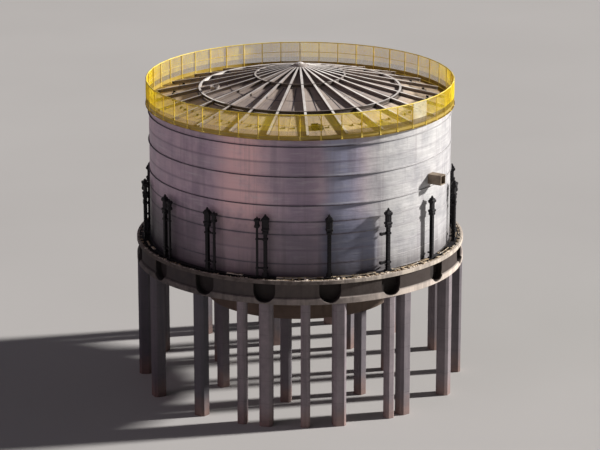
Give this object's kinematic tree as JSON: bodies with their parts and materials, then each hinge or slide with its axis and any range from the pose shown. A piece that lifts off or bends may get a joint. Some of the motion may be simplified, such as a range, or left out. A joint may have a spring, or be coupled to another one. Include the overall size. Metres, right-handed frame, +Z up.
{
  "type": "elevated cylindrical process tank",
  "caption": "Steel process tank with a conical roof, radial rafters and a guard rail, on a round concrete table on columns, with its lifting posts still in place.",
  "frame": {"origin": "on the ground, under the centre of the tank", "axes": "+Z up along the axis of the tank, -Y towards the side that faces the camera in the picture, +X to the right of that side"},
  "size_m": [17.04, 17.04, 16.843],
  "materials": {
    "concrete": "cast concrete, dusty, stained",
    "shell_steel": "bare plate, dusty, semi-matte",
    "roof_steel": "bare plate covered in pale reddish dust",
    "pale_paint": "pale primer, dusty",
    "rail_paint": "yellow, satin",
    "black_paint": "black, greasy"
  },
  "bodies": {
    "root": {"table_slab": "concrete", "inner_ring_beam": "concrete", "edge_ring_beam": "concrete", "outer_column_01": "concrete", "outer_column_02": "concrete", "outer_column_03": "concrete", "outer_column_04": "concrete", "outer_column_05": "concrete", "outer_column_06": "concrete", "outer_column_07": "concrete", "outer_column_08": "concrete", "outer_column_09": "concrete", "outer_column_10": "concrete", "outer_column_11": "concrete", "outer_column_12": "concrete", "outer_column_13": "concrete", "outer_column_14": "concrete", "inner_column_1": "concrete", "inner_column_2": "concrete", "inner_column_3": "concrete", "inner_column_4": "concrete", "inner_column_5": "concrete", "inner_column_6": "concrete", "inner_column_7": "concrete", "prop_1": "concrete", "prop_2": "concrete", "prop_3": "concrete", "tank_floor": "shell_steel", "tank_shell": "shell_steel", "top_curb": "rail_paint", "side_box": "pale_paint", "roof_plate": "roof_steel", "roof_frame": "pale_paint", "roof_cap": "pale_paint", "roof_hatch": "black_paint", "roof_collar": "pale_paint", "guard_rail_1": "rail_paint", "guard_rail_2": "rail_paint", "guard_rail_3": "rail_paint", "guard_rail_4": "rail_paint", "lifting_gear_1": "black_paint", "lifting_gear_2": "black_paint", "lifting_gear_3": "black_paint", "lifting_gear_4": "black_paint"}
  },
  "joints": []
}
